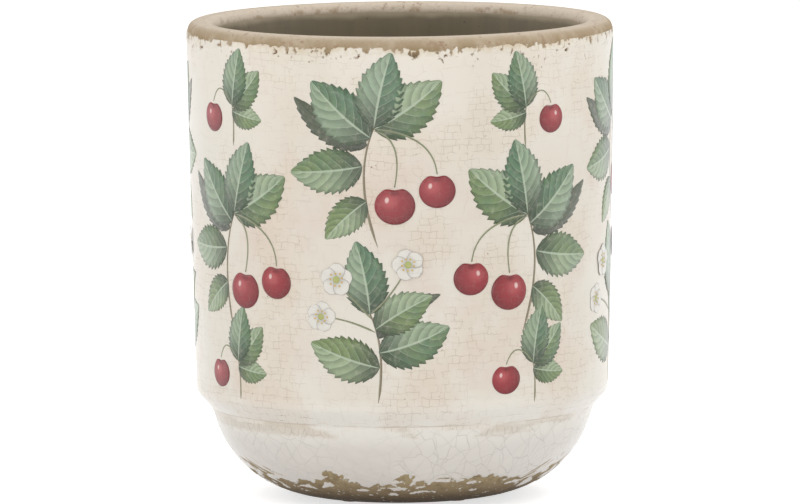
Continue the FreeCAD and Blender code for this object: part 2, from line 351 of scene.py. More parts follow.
bare_rim = 0.0039
rim_flank_rise = 0.0010
rim_drift, rim_drift_swing, rim_drift_seed = 0.034, 0.0013, 1.3
rim_lobes, rim_lobe_seed = [(0.0075, 0.0009), (0.0030, 0.0009), (0.0014, 0.0006)], 2.7
rim_reach = 0.014
chip_kinds, chip_seed = [(0.0032, 1.0, 0.34, 0.011), (0.0016, 1.4, 0.35, 0.015)], 3.9
chip_lobes, chip_lobe_seed = [(0.0012, 0.0005), (0.0006, 0.0003)], 5.3
chip_run, chip_run_swing, chip_run_seed = 0.036, 0.45, 7.1


def rim_cover(point, run):
    """How far a point is inside the ragged edge under the lip, with the chips below it and without.
    Both are negative on bare clay."""
    ring = Vector((point.x, point.y, 0))
    flank_share = (point.x / ring.length) ** 4
    depth = lip_height - point.z - bare_rim + rim_flank_rise * flank_share
    margin = depth + patch(ring, rim_drift, rim_drift_seed) * rim_drift_swing
    margin += lobes(point, rim_lobes, rim_lobe_seed)
    rough = patch(ring, chip_run, chip_run_seed) * chip_run_swing
    ragged = lobes(point, chip_lobes, chip_lobe_seed)
    cover = margin
    for size, tall, limit, reach in chip_kinds:
        spot = Vector((point.x, point.y, point.z / tall))
        cover = min(cover, (limit + depth / reach + rough - patch(spot, size, chip_seed)) * size + ragged)
    return cover, margin


foot_cover_run = 0.0328
foot_flank_drop = 0.0052
foot_drift, foot_drift_swing, foot_drift_seed = 0.022, 0.008, 58.3
foot_warp, foot_warp_swing, foot_warp_seeds = 0.006, 0.0022, (41.3, 43.7, 47.9)
foot_lobes = [(0.0085, 0.0042), (0.0042, 0.0027), (0.0021, 0.0018), (0.0011, 0.0009)]
foot_lobe_seed = 46.7
flake_size, flake_seed = 0.0050, 88.6
flake_squat = 0.65
flake_slope = 0.45
flake_limit = 0.25
flake_cluster, flake_cluster_swing, flake_cluster_seed = 0.019, 0.45, 81.7
flake_lobes, flake_lobe_seed = [(0.0022, 0.0012), (0.0011, 0.0007)], 29.3
flake_band = (0.015, 0.023)
scratch_wide = 0.0010
scratch_long = 0.017
scratch_lean = math.radians(24)
scratch_limit = 0.20
scratch_reach = 0.014
scratch_left_seed, scratch_right_seed = 65.5, 44.4
flank_front, flank_back = math.radians(38), math.radians(140)
flank_fade = math.radians(18)


def foot_scratch(point, run):
    """The slanting scuffs on the flanks of the foot, which go down towards the front."""
    angle = abs(math.atan2(point.x, -point.y))
    across = angle * math.hypot(point.x, point.y)
    along = across * math.cos(scratch_lean) + run * math.sin(scratch_lean)
    athwart = run * math.cos(scratch_lean) - across * math.sin(scratch_lean)
    seed = scratch_left_seed if point.x < -merge_gap else scratch_right_seed
    streak = noise.noise(Vector((along / scratch_long, athwart / scratch_wide, seed)))
    flank = soft_step(angle, flank_front, flank_front + flank_fade)
    flank *= 1 - soft_step(angle, flank_back, flank_back + flank_fade)
    return (scratch_limit + (run - foot_cover_run) / scratch_reach + 1 - flank - streak) * scratch_wide


def foot_cover(point, run):
    """How far a point is inside the flaked edge at the foot, with the flakes left below it and without.
    Both are negative on bare clay."""
    bent = point + Vector([patch(point, foot_warp, seed) for seed in foot_warp_seeds]) * foot_warp_swing
    flank_share = (point.x / math.hypot(point.x, point.y)) ** 2
    margin = run - foot_cover_run + foot_flank_drop * flank_share
    margin += patch(point, foot_drift, foot_drift_seed) * foot_drift_swing
    margin = min(margin - lobes(bent, foot_lobes, foot_lobe_seed), foot_scratch(point, run))
    squat = Vector((bent.x, bent.y, (bent.z - bent.y * flake_slope) / flake_squat))
    rest = flake_limit + patch(point, flake_cluster, flake_cluster_seed) * flake_cluster_swing
    flake = (patch(squat, flake_size, flake_seed) - rest) * flake_size
    flake -= lobes(point, flake_lobes, flake_lobe_seed)
    return max(margin, flake - (1 - soft_step(run, *flake_band)) * flake_size), margin


ripple_size, ripple_depth, ripple_seed = 0.014, 0.00007, 31.7


def glaze_lift(point):
    """How far the whole glaze stands off the clay, a little uneven as a dipped coat is."""
    return coat + patch(point, ripple_size, ripple_seed) * ripple_depth


wear_reach = 0.0005
thin_reach = 0.0034
feather_share = 0.4
tuck = 0.0012
back_row = 0.009
glaze_crease = math.radians(60)


def whole(point, run):
    """The cover of a stretch where nothing has flaked."""
    return thin_reach, thin_reach


def spaced(start, end, step):
    """Even steps from a start up to an end."""
    count = math.ceil((end - start) / step)
    return [start + (end - start) * number / count for number in range(count + 1)]


def make_coat(name, runs, sides, cover_at, material):
    """A coat on a stretch of the clay: proud of it where it holds, and sunk into it where it has flaked.
    It is a grid wrapped both ways: round the pot, and over the coat's face and back again behind it."""
    mesh = bmesh.new()
    wear = mesh.verts.layers.float.new("wear")
    thin = mesh.verts.layers.float.new("thin")
    backs = spaced(runs[0], runs[-1], back_row)[::-1]
    rows = runs + backs + runs[:1]
    behind = range(len(runs), len(runs) + len(backs))
    bmesh.ops.create_grid(mesh, x_segments=sides, y_segments=len(rows) - 1, size=0.5)
    for vert in mesh.verts:
        angle = 2 * math.pi * vert.co.x
        row = round((vert.co.y + 0.5) * (len(rows) - 1))
        clay, facing, run = skin_at(skin_runs, rows[row])
        outwards = Vector((math.sin(angle), -math.cos(angle), 0))
        point = outwards * clay.x + Vector((0, 0, clay.z))
        lift = -tuck
        if row not in behind:
            cover, margin = cover_at(point, run)
            vert[wear] = 1 - soft_step(cover, 0, wear_reach)
            vert[thin] = 1 - soft_step(margin, 0, thin_reach)
            feather = feather_share + (1 - feather_share) * soft_step(margin, 0, thin_reach)
            lift = (glaze_lift(point) * feather + sunk) * soft_step(cover, -flake_edge, flake_edge) - sunk
        vert.co = point + (outwards * facing.x + Vector((0, 0, facing.z))) * lift
    bmesh.ops.remove_doubles(mesh, verts=mesh.verts, dist=merge_gap)
    piece = finish_piece(mesh, name, material, glaze_crease)
    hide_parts("outer_glaze")


def unrolled(glaze):
    """A place on the unrolled wall, which wanders a little as cracks do, and its height."""
    wander_size, wander = 0.006, 0.0034
    split = glaze.add("ShaderNodeSeparateXYZ", {"Vector": glaze.place})
    angle = glaze.math("ARCTAN2", split["X"], glaze.times(split["Y"], -1.0))
    across = glaze.times(angle, rim_radius)
    flat = glaze.add("ShaderNodeCombineXYZ", {"X": across, "Y": split["Z"]})["Vector"]
    drift = glaze.add("ShaderNodeTexNoise", {"Vector": glaze.place, "Scale": 1 / wander_size})["Color"]
    inputs = {0: drift, 1: (wander, wander, wander), 2: flat}
    moved = glaze.add("ShaderNodeVectorMath", inputs, operation="MULTIPLY_ADD")["Vector"]
    return moved, split["Z"]


def cracks(glaze, flat, cell, width, unevenness):
    """The lines of a net of cracks, 1 on a crack and 0 off it."""
    inputs = {"Vector": flat, "Scale": 1 / cell, "Randomness": unevenness}
    net = glaze.add("ShaderNodeTexVoronoi", inputs, feature="DISTANCE_TO_EDGE", voronoi_dimensions="2D")
    return glaze.between(net["Distance"], (width / cell, 0.0))


def oblong_cracks(glaze, flat, row, width):
    """A net of cracks in level courses, as crazing is on a straight wall."""
    inputs = {"Vector": flat, "Scale": 1 / row, "Brick Width": 1.15, "Row Height": 1.0,
              "Mortar Size": width / row, "Mortar Smooth": 1.0}
    bond = {"offset": 0.37, "offset_frequency": 3, "squash": 1.6, "squash_frequency": 2}
    return glaze.add("ShaderNodeTexBrick", inputs, **bond)["Fac"]


def craze(glaze, flat):
    """The crazing of the wall, small oblong cells that are faint and broken in places, and its patches."""
    fine_row, fine_width = 0.0026, 0.00017
    coarse_cell, coarse_width, coarse_unevenness = 0.0095, 0.00018, 0.6
    break_size, break_band = 0.0042, (0.39, 0.57)
    patch_size, patch_band, spread_band = 0.034, (0.47, 0.62), (0.36, 0.60)
    faint_share = 0.4
    fine = oblong_cracks(glaze, flat, fine_row, fine_width)
    coarse = cracks(glaze, flat, coarse_cell, coarse_width, coarse_unevenness)
    broken = glaze.patches(break_size, break_band, detail=2.0)
    clouding = glaze.cloud(patch_size, detail=3.0)
    clear = glaze.times(fine, glaze.times(broken, glaze.between(clouding, spread_band)))
    faint = glaze.times(coarse, glaze.times(broken, faint_share))
    return glaze.math("MAXIMUM", clear, faint), glaze.between(clouding, patch_band)


tide_beige = (0.58, 0.495, 0.385, 1)
tide_share = 0.5


def tide_mark(glaze, height):
    """Where water has stained the glaze in patches under the shoulder, and in a thin line at the crease."""
    tide_size, tide_band, tide_shape = 0.034, (0.47, 0.57), (1.0, 1.0, 3.0)
    tide_height_band = (0.0285, 0.0308)
    line_size, line_band, line_edge_band = 0.030, (0.44, 0.56), (0.0004, 0.0)
    level = glaze.add("ShaderNodeMapping", {"Vector": glaze.place, "Scale": tide_shape})["Vector"]
    patches = glaze.between(glaze.cloud(tide_size, place=level), tide_band)
    below = glaze.math("LESS_THAN", height, crease_height)
    tide = glaze.times(glaze.times(glaze.between(height, tide_height_band), below), patches)
    off = glaze.math("ABSOLUTE", glaze.math("SUBTRACT", height, crease_height))
    line = glaze.times(glaze.between(off, line_edge_band), glaze.patches(line_size, line_band, detail=3.0))
    return tide, line


wear_band, wear_share = (0.3, 1.0), 0.6
crack_depth = 0.00006
glaze_roughness = 0.45
clear_top = {"Specular IOR Level": 0.1, "Coat Weight": 0.75, "Coat Roughness": 0.22, "Coat IOR": 1.5}


def fire_glaze(glaze, lines):
    """Finishes a glaze: its cracks are pressed in, and it gets a clear top, which alone reflects."""
    glaze.emboss(glaze.times(lines, -1.0), crack_depth)
    for name, value in clear_top.items():
        glaze.shader[name].default_value = value
    return glaze.material


def make_wall_glaze():
    """The wall's cream: clouded with pinkish beige, crazed, pitted, and stained where it has flaked."""
    cream = (0.745, 0.685, 0.59, 1)
    cream_pale = (0.78, 0.735, 0.65, 1)
    beige = (0.69, 0.555, 0.415, 1)
    flush = (0.70, 0.575, 0.485, 1)
    shoulder_painted_light = (0.83, 0.79, 0.725, 1)
    top_cream = (0.815, 0.755, 0.655, 1)
    crack_brown = (0.40, 0.29, 0.20, 1)
    thin_ochre = (0.66, 0.54, 0.36, 1)
    tide_brown = (0.36, 0.25, 0.155, 1)
    pit_brown = (0.28, 0.19, 0.12, 1)
    cloud_size, cloud_band = 0.045, (0.35, 0.65)
    flush_size, flush_band, flush_share = 0.030, (0.47, 0.72), 0.6
    painted_light_band = (0.046, 0.0385)
    top_band, top_share = (0.125, 0.168), 0.6
    beige_share, line_share, crack_share = 0.25, 0.4, 0.47
    pit_size, pit_band = 0.0012, (0.745, 0.80)
    thin_size, thin_band, thin_share = 0.008, (0.38, 0.58), 0.65

    glaze = Finish("cream_wall_glaze", cream, glaze_roughness)
    flat, height = unrolled(glaze)
    lines, patches = craze(glaze, flat)
    tide, line = tide_mark(glaze, height)
    pits = glaze.times(glaze.patches(pit_size, pit_band, detail=1.0), patches)
    thin = glaze.times(glaze.attribute("thin"), glaze.patches(thin_size, thin_band, detail=3.0))
    worn = glaze.between(glaze.attribute("wear"), wear_band)
    glaze.layer(glaze.patches(cloud_size, cloud_band), cream_pale)
    glaze.layer(glaze.patches(flush_size, flush_band, detail=5.0), flush, flush_share)
    # Painted light: the lower wall and the shoulder, which face down into shade, are painted paler.
    glaze.layer(glaze.between(height, painted_light_band), shoulder_painted_light)
    glaze.layer(glaze.between(height, top_band), top_cream, top_share)
    glaze.layer(patches, beige, beige_share)
    glaze.layer(tide, tide_beige, tide_share)
    glaze.layer(line, crack_brown, line_share)
    glaze.layer(lines, crack_brown, crack_share)
    glaze.layer(pits, pit_brown)
    glaze.layer(thin, thin_ochre, thin_share)
    glaze.layer(worn, tide_brown, wear_share)
    return fire_glaze(glaze, lines)


def slanting_cracks(glaze, flat, slant):
    """A net of long cracks drawn out one way, as a round bowl crazes."""
    cell, width, unevenness = 0.0062, 0.00016, 0.9
    drawn_out = (2.2, 1.0, 1.0)
    inputs = {"Vector": flat, "Rotation": (0, 0, slant), "Scale": drawn_out}
    drawn = glaze.add("ShaderNodeMapping", inputs, vector_type="TEXTURE")["Vector"]
    return cracks(glaze, drawn, cell, width, unevenness)


def make_bowl_glaze():
    """The bowl's cream: a cooler white with wide grey cracks, and a tide of stain under the shoulder."""
    white = (0.71, 0.664, 0.613, 1)
    white_pale = (0.745, 0.704, 0.653, 1)
    band_painted_light = (0.815, 0.775, 0.71, 1)
    crack_grey = (0.36, 0.33, 0.31, 1)
    crack_brown = (0.36, 0.26, 0.18, 1)
    flake_brown = (0.40, 0.31, 0.20, 1)
    cloud_size, cloud_band, clear_band = 0.040, (0.35, 0.65), (0.38, 0.54)
    painted_light_band = (0.024, 0.032)
    left_slant, right_slant = math.radians(38), math.radians(-47)
    net_cell, net_width, net_unevenness, net_share = 0.0036, 0.00019, 0.5, 0.5
    crack_share = 0.32

    glaze = Finish("cream_bowl_glaze", white, glaze_roughness)
    flat, height = unrolled(glaze)
    wide = glaze.math("MAXIMUM", slanting_cracks(glaze, flat, left_slant),
                      slanting_cracks(glaze, flat, right_slant))
    clear = glaze.times(wide, glaze.patches(cloud_size, clear_band, detail=3.0))
    tide = tide_mark(glaze, height)[0]
    netted = glaze.times(cracks(glaze, flat, net_cell, net_width, net_unevenness), tide)
    worn = glaze.between(glaze.attribute("wear"), wear_band)
    glaze.layer(glaze.patches(cloud_size, cloud_band), white_pale)
    # Painted light: the band under the crease, which faces down into the shoulder's shade, is painted
    # paler.
    glaze.layer(glaze.between(height, painted_light_band), band_painted_light)
    glaze.layer(tide, tide_beige, tide_share)
    glaze.layer(netted, crack_brown, net_share)
    glaze.layer(clear, crack_grey, crack_share)
    glaze.layer(worn, flake_brown, wear_share)
    return fire_glaze(glaze, wide)


rim_row, wall_row, shoulder_row, foot_row = 0.0003, 0.004, 0.0009, 0.00042
rim_sides, wall_sides, bowl_sides = 1800, 720, 840
foot_zone_run = 0.042
coat_bottom_run = 0.004
shoulder_zone = 0.046
join_drop = 0.0016
join_run = skin_at(skin_heights, crease_height - join_drop)[2]
shoulder_run = skin_at(skin_heights, shoulder_zone)[2]
rim_run = skin_at(skin_heights, lip_height - rim_reach)[2]
rim_rows = spaced(rim_run, skin_runs[-1], rim_row)
wall_rows = spaced(join_run, shoulder_run, shoulder_row)
wall_rows += spaced(shoulder_run, rim_run, wall_row)[1:]
bowl_rows = spaced(coat_bottom_run, foot_zone_run, foot_row)
bowl_rows += spaced(foot_zone_run, join_run, shoulder_row)[1:]
wall_finish = make_wall_glaze()
make_coat("rim_glaze", rim_rows, rim_sides, rim_cover, wall_finish)
make_coat("wall_glaze", wall_rows, wall_sides, whole, wall_finish)
make_coat("bowl_glaze", bowl_rows, bowl_sides, foot_cover, make_bowl_glaze())

# Inner glaze
# A thin taupe glaze poured in and swilled round, so that the clay holds water. It runs from just
# under the lip to the drain hole, and shows the streaks that it dried in.
inner_coat = 0.0006
inner_feather = 0.004
inner_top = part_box("inner_glaze")[1].z
inner_sides = 256


def make_taupe():
    """Taupe glaze: pale at its top edge, partly as it thins there and partly as painted light falling in at
    the mouth, with faint streaks down the wall and a few pinholes.
    """
    taupe = (0.225, 0.182, 0.113, 1)
    taupe_dark = (0.182, 0.148, 0.092, 1)
    thin_lit_edge_tan = (0.42, 0.345, 0.235, 1)
    pinhole = (0.12, 0.09, 0.065, 1)
    streak_size, streak_band, streak_depth = 0.010, (0.3, 0.7), 0.0001
    streak_shape = (1.0, 1.0, 0.12)
    drip_size, drip_reach = 0.020, 0.005
    lit_edge_depth = 0.0026
    edge_band = (inner_top - lit_edge_depth, inner_top)
    pinhole_size, pinhole_band = 0.0016, (0.74, 0.8)

    glaze = Finish("taupe_glaze", taupe, roughness=0.5)
    height = glaze.add("ShaderNodeSeparateXYZ", {"Vector": glaze.place})["Z"]
    drawn = glaze.add("ShaderNodeMapping", {"Vector": glaze.place, "Scale": streak_shape})["Vector"]
    streak = glaze.cloud(streak_size, place=drawn)
    drip = glaze.times(glaze.math("SUBTRACT", glaze.cloud(drip_size), 0.5), drip_reach)
    glaze.layer(glaze.between(streak, streak_band), taupe_dark)
    glaze.layer(glaze.patches(pinhole_size, pinhole_band, detail=1.0), pinhole)
    # Partly painted light: the glaze pales at its top edge as it thins, and as light falls in at the mouth,
    # darkening to taupe below.
    glaze.layer(glaze.between(glaze.math("ADD", height, drip), edge_band), thin_lit_edge_tan)
    glaze.emboss(streak, streak_depth)
    return glaze.material


inner_corners = [
    (bore_radius, inner_top, 0),
    (bore_radius, floor_height, inner_bowl_round),
    (drain_radius, floor_height, 0),
    (drain_radius, floor_height + inner_coat, 0),
    (bore_radius - inner_coat, floor_height + inner_coat, inner_bowl_round - inner_coat),
    (bore_radius - inner_coat, inner_top - inner_feather, 0),
]
inner_glaze = finish_piece(turned(rounded(inner_corners, clay_turn_step), inner_sides),
                           "inner_coat", make_taupe(), clay_crease)
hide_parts("inner_glaze")

# Transfers
# Printed sprigs of cherries, leaves and blossom, slid onto the glaze wet and fired in. They are
# thin films on the wall, set out in a half drop, and they have crazed with the glaze below.
film = 0.00012
film_proud = 0.00004
film_step = 0.000012
tip_gap = 0.000001


class Sprig:
    """One transfer's place on the wall, which lays its painted patches there."""

    def __init__(self, turn, height, size, lean, mirrored):
        self.turn = turn
        self.height = height
        self.size = size
        self.lean = lean
        self.mirrored = mirrored
        self.lift = film_proud

    def wrap(self, spot):
        """A spot of the sprig, in shares of its size, laid on the glazed wall."""
        across = (-spot.x if self.mirrored else spot.x) * self.size
        leant = Matrix.Rotation(self.lean, 2) @ Vector((across, spot.y * self.size))
        height = self.height + leant.y
        clay = skin_at(skin_heights, height)[0]
        angle = self.turn + leant.x / clay.x
        point = Vector((math.sin(angle), -math.cos(angle), 0)) * clay.x + Vector((0, 0, height))
        radius = clay.x + glaze_lift(point) + self.lift
        return Vector((math.sin(angle) * radius, -math.cos(angle) * radius, height))

    def lay(self, mesh, cells, spot_at, tone=0.0):
        """Lays one patch of the print, its spots given along and across it, over the patches before."""
        self.lift += film_step
        along, across = cells
        grid = bmesh.ops.create_grid(mesh, x_segments=along, y_segments=across, size=0.5, calc_uvs=True)
        tones = mesh.verts.layers.float["tone"]
        for vert in grid["verts"]:
            vert[tones] = tone
            vert.co = self.wrap(spot_at(vert.co.x + 0.5, vert.co.y * 2))


def new_print():
    """An empty mesh for printed patches, with their own map and tone."""
    mesh = bmesh.new()
    mesh.loops.layers.uv.new("print")
    mesh.verts.layers.float.new("tone")
    return mesh


def heading_of(angle):
    """A unit direction in the plane of the sprig."""
    return Vector((math.cos(angle), math.sin(angle)))


leaf_print = new_print()
leaf_cells = (66, 6)
leaf_base_power, leaf_tip_power, leaf_fullest = 0.6, 0.9, 0.364
leaf_teeth = 11
tooth_edge_power = 6
tooth_share = 0.20
tooth_lean_share = 0.014


def lay_leaf(sprig, base, angle, length, breadth, bend, tone):
    """An oval leaf, pointed and finely toothed, bent along its midrib."""
    ahead = heading_of(math.radians(angle))
    aside = heading_of(math.radians(angle) + math.pi / 2)

    def spot_at(along, across):
        spread = along ** leaf_base_power * (1 - along) ** leaf_tip_power / leaf_fullest
        tooth = (along * leaf_teeth) % 1 * abs(across) ** tooth_edge_power
        rib = Vector(base) + (ahead * along + aside * bend * along * along) * length
        broad = across * spread * breadth * (1 + tooth * tooth_share)
        swept = (aside - ahead * bend * 2 * along) * broad * length
        return rib + swept + ahead * tooth * tooth_lean_share * length

    sprig.lay(leaf_print, leaf_cells, spot_at, tone)


stem_print = new_print()
stem_cells = (22, 2)
stem_cut_band = (-0.04, 0.14)
stem_taper_share = 0.45


def lay_stem(sprig, start, bend, end, width, tone):
    """A stem along a curve through its bend, cut to a point, and thinner towards its end."""
    start, bend, end = Vector(start), Vector(bend), Vector(end)

    def spot_at(along, across):
        spot = start * (1 - along) ** 2 + bend * 2 * along * (1 - along) + end * along ** 2
        course = ((bend - start) * (1 - along) + (end - bend) * along).normalized()
        cut = soft_step(along, *stem_cut_band)
        return spot + Vector((-course.y, course.x)) * across * width * cut * (1 - stem_taper_share * along)

    sprig.lay(stem_print, stem_cells, spot_at, tone)


def disc_spot(along, across):
    """A spot of a round patch, from the square that it is pressed from."""
    side = along * 2 - 1
    return Vector((side * math.sqrt(1 - across ** 2 / 2), across * math.sqrt(1 - side ** 2 / 2)))


fruit_print = new_print()
fruit_cells = (14, 14)
cherry_wide_share, cherry_tall_share = 1.04, 0.97
dent_share, dent_top_band, dent_side_band = 0.16, (0.2, 1.0), (0.0, 0.55)


def lay_cherry(sprig, middle, radius):
    """A cherry, a little heart-shaped, with a dent where its stem goes in."""

    def spot_at(along, across):
        disc = disc_spot(along, across)
        dent = dent_share * soft_step(disc.y, *dent_top_band)
        dent *= 1 - soft_step(abs(disc.x), *dent_side_band)
        spot = Vector((disc.x * cherry_wide_share, disc.y * cherry_tall_share - dent))
        return Vector(middle) + spot * radius

    sprig.lay(fruit_print, fruit_cells, spot_at)


petal_print = new_print()
petal_cells = (9, 7)
petal_count = 5
petal_breadth_share, petal_power = 0.50, 0.8
petal_root_share, petal_run_share = 0.10, 0.78
notch_share, notch_band = 0.12, (0.7, 1.0)
crown_share, crown_band = 0.16, (0.4, 1.0)


def lay_petal(sprig, middle, angle, length):
    """A round petal with a shallow notch, narrow at the heart of the flower."""
    ahead = heading_of(angle)
    aside = heading_of(angle + math.pi / 2)

    def spot_at(along, across):
        swell = math.sin(math.pi * (petal_root_share + petal_run_share * along)) ** petal_power
        notch = notch_share * (1 - abs(across)) * soft_step(along, *notch_band)
        crown = crown_share * across * across * soft_step(along, *crown_band)
        broad = petal_breadth_share * swell
        return middle + (ahead * (along - notch - crown) + aside * across * broad) * length

    sprig.lay(petal_print, petal_cells, spot_at)


heart_print = new_print()
heart_cells = (4, 4)
heart_share, heart_tone = 0.2, 0.2
stamen_count = 9
stamen_share, stamen_tone = 0.055, 0.9
stamen_reach_share, stamen_step_share = 0.33, 0.06


def lay_dot(sprig, middle, radius, tone):
    """A round dot of colour."""

    def spot_at(along, across):
        return middle + disc_spot(along, across) * radius

    sprig.lay(heart_print, heart_cells, spot_at, tone)


def lay_blossom(sprig, middle, radius, angle):
    """A flower of five petals round a yellow heart, with a ring of stamens."""
    middle = Vector(middle)
    first = math.radians(angle)
    for number in range(petal_count):
        lay_petal(sprig, middle, first + number * 2 * math.pi / petal_count, radius)
    lay_dot(sprig, middle, radius * heart_share, heart_tone)
    for number in range(stamen_count):
        reach_share = stamen_reach_share + stamen_step_share * (number % 2)
        stamen = heading_of(first + number * 2 * math.pi / stamen_count) * radius * reach_share
        lay_dot(sprig, middle + stamen, radius * stamen_share, stamen_tone)


def lay_sprig(sprig, shares):
    """A whole sprig: its twig, then its leaves, then the fruit and the flowers on their stalks."""
    steps = [("twigs", lay_stem), ("leaves", lay_leaf), ("stalks", lay_stem),
             ("cherries", lay_cherry), ("blossoms", lay_blossom)]
    for kind, lay in steps:
        for patch_shares in shares[kind]:
            lay(sprig, *patch_shares)


cherry_shares = {
    "twigs": [((0.03, -0.54), (-0.11, -0.14), (0.02, 0.14), 0.0085, 0.9)],
    "leaves": [
        ((-0.03, -0.28), 214, 0.32, 0.27, 0.14, 0.8),
        ((-0.02, 0.04), 170, 0.47, 0.14, -0.40, 1.6),
        ((-0.05, -0.08), 192, 0.43, 0.27, -0.12, 0.55),
        ((0.0, 0.08), 146, 0.46, 0.28, -0.16, 0.2),
        ((0.02, 0.13), 26, 0.46, 0.28, 0.16, 0.6),
        ((0.02, 0.14), 82, 0.43, 0.28, -0.10, 0.1),
    ],
    "stalks": [
        ((0.02, 0.12), (0.19, 0.08), (0.13, -0.20), 0.006, 0.35),
        ((0.02, 0.13), (0.35, 0.10), (0.37, -0.13), 0.006, 0.35),
    ],
    "cherries": [((0.37, -0.225), 0.100), ((0.13, -0.305), 0.110)],
    "blossoms": [],
}
blossom_shares = {
    "twigs": [((0.06, -0.54), (0.10, -0.16), (-0.02, 0.06), 0.0095, 0.9)],
    "leaves": [
        ((0.05, -0.20), 14, 0.50, 0.28, 0.16, 0.4),
        ((0.06, -0.30), 172, 0.50, 0.27, -0.14, 0.85),
        ((0.04, -0.10), 64, 0.46, 0.13, -0.50, 1.6),
        ((0.02, -0.04), 40, 0.44, 0.27, -0.12, 0.7),
        ((-0.02, 0.06), 98, 0.50, 0.27, 0.10, 0.15),
    ],
    "stalks": [
        ((0.02, -0.06), (-0.16, 0.02), (-0.34, 0.02), 0.007, 0.4),
        ((-0.01, 0.03), (-0.12, 0.14), (-0.25, 0.26), 0.007, 0.4),
        ((-0.02, 0.06), (0.12, 0.18), (0.22, 0.40), 0.007, 0.4),
    ],
    "cherries": [],
    "blossoms": [((-0.36, 0.02), 0.115, 80), ((-0.26, 0.28), 0.125, 20), ((0.22, 0.41), 0.12, 110)],
}
small_shares = {
    "twigs": [((0.08, -0.50), (0.10, -0.24), (0.06, -0.06), 0.012, 0.7)],
    "leaves": [
        ((0.06, -0.12), 345, 0.46, 0.28, 0.12, 0.8),
        ((0.06, -0.06), 36, 0.58, 0.28, 0.16, 0.6),
        ((0.06, -0.06), 86, 0.64, 0.28, -0.12, 0.25),
    ],
    "stalks": [((0.06, -0.06), (-0.18, 0.26), (-0.30, -0.05), 0.009, 0.35)],
    "cherries": [((-0.30, -0.22), 0.17)],
    "blossoms": [],
}
full_column = [(cherry_shares, 0.137, 0.063), (blossom_shares, 0.0735, 0.053)]
drop_column = [(small_shares, 0.154, 0.035), (cherry_shares, 0.1035, 0.063), (small_shares, 0.0585, 0.034)]
column_count = 8
first_column = math.radians(-8)
sprig_jitter = math.radians(7)
sprig_spread_share = 0.06
mirrored_share = 0.5
luck_seed = 17
luck = random.Random(luck_seed)
for column in range(column_count):
    turn = first_column + column * 2 * math.pi / column_count
    for shares, height, size in drop_column if column % 2 else full_column:
        lean = luck.uniform(-sprig_jitter, sprig_jitter)
        spread = size * (1 + luck.uniform(-sprig_spread_share, sprig_spread_share))
        lay_sprig(Sprig(turn, height, spread, lean, luck.random() < mirrored_share), shares)


class Print(Finish):
    """A printed film in the making, with its place along and across the print, and its tone."""

    def __init__(self, name, colour):
        super().__init__(name, colour, roughness=0.42)
        spot = self.add("ShaderNodeUVMap", {}, uv_map="print")["UV"]
        split = self.add("ShaderNodeSeparateXYZ", {"Vector": spot})
        self.along = split["X"]
        self.side = split["Y"]
        self.across = self.times(self.math("SUBTRACT", self.side, 0.5), 2.0)
        self.out = self.math("ABSOLUTE", self.across)
        self.tone = self.attribute("tone")

    def fire(self, fade_share=0.20):
        """Fires the print in: its colour is broken up and faded, and the crazing runs through it."""
        faded = (0.74, 0.67, 0.57, 1)
        crack_dark = (0.22, 0.19, 0.14, 1)
        fade_size, fade_band, fade_roughness = 0.0022, (0.48, 0.74), 0.7
        crack_share = 0.25
        fade = self.between(self.cloud(fade_size, detail=5.0, roughness=fade_roughness), fade_band)
        lines = craze(self, unrolled(self)[0])[0]
        self.layer(fade, faded, fade_share)
        self.layer(lines, crack_dark, crack_share)
        return fire_glaze(self, lines)


def make_leaf_print():
    """Painted leaves: pleated between pale ribs, one half lighter, and darker by the stem and the edge."""
    blue_green = (0.105, 0.20, 0.115, 1)
    yellow_green = (0.215, 0.29, 0.115, 1)
    light_green = (0.54, 0.64, 0.46, 1)
    dark_green = (0.031, 0.048, 0.024, 1)
    fold_dark = (0.055, 0.062, 0.045, 1)
    rib_pale = (0.46, 0.54, 0.40, 1)
    wash_size, wash_swing, hue_band = 0.007, 1.2, (0.0, 1.0)
    lit_band, lit_share = (-0.04, 0.04), 0.44
    rib_count, rib_curve, rib_lean, rib_drift = 7.0, 1.35, 0.28, 0.05
    pleat_band, pleat_share = (0.15, 1.0), 0.40
    base_band, base_share = (0.55, 0.0), 0.88
    rib_band, rib_fade_band, rib_share = (0.13, 0.02), (0.95, 0.25), 0.40
    midrib_band, midrib_share = (0.075, 0.03), 0.8
    edge_band, edge_share = (0.84, 1.0), 0.40
    fold_band, fold_share = (1.1, 1.5), 0.85

    leaf = Print("leaf_print", blue_green)
    wash = leaf.cloud(wash_size, detail=3.0)
    hue = leaf.math("ADD", leaf.tone, leaf.times(leaf.math("SUBTRACT", wash, 0.5), wash_swing))
    sweep = leaf.times(leaf.math("POWER", leaf.out, rib_curve), rib_lean)
    slant = leaf.math("ADD", leaf.math("SUBTRACT", leaf.along, sweep), leaf.times(wash, rib_drift))
    pleat = leaf.math("FRACT", leaf.times(slant, rib_count))
    ribs = leaf.times(leaf.between(pleat, rib_band), leaf.between(leaf.out, rib_fade_band))
    leaf.layer(leaf.between(hue, hue_band), yellow_green)
    leaf.layer(leaf.between(leaf.across, lit_band), light_green, lit_share)
    leaf.layer(leaf.between(pleat, pleat_band), dark_green, pleat_share)
    leaf.layer(leaf.between(leaf.along, base_band), dark_green, base_share)
    leaf.layer(ribs, rib_pale, rib_share)
    leaf.layer(leaf.between(leaf.out, midrib_band), rib_pale, midrib_share)
    leaf.layer(leaf.between(leaf.out, edge_band), dark_green, edge_share)
    leaf.layer(leaf.between(leaf.tone, fold_band), fold_dark, fold_share)
    return leaf.fire()


def make_stem_print():
    """Painted stems: green to brown, with a lit side."""
    stem_green = (0.20, 0.27, 0.135, 1)
    stem_brown = (0.20, 0.145, 0.09, 1)
    stem_lit = (0.42, 0.42, 0.29, 1)
    lit_band, lit_share = (0.45, 1.0), 0.6
    stem = Print("stem_print", stem_green)
    stem.layer(stem.tone, stem_brown)
    stem.layer(stem.between(stem.side, lit_band), stem_lit, lit_share)
    return stem.fire()


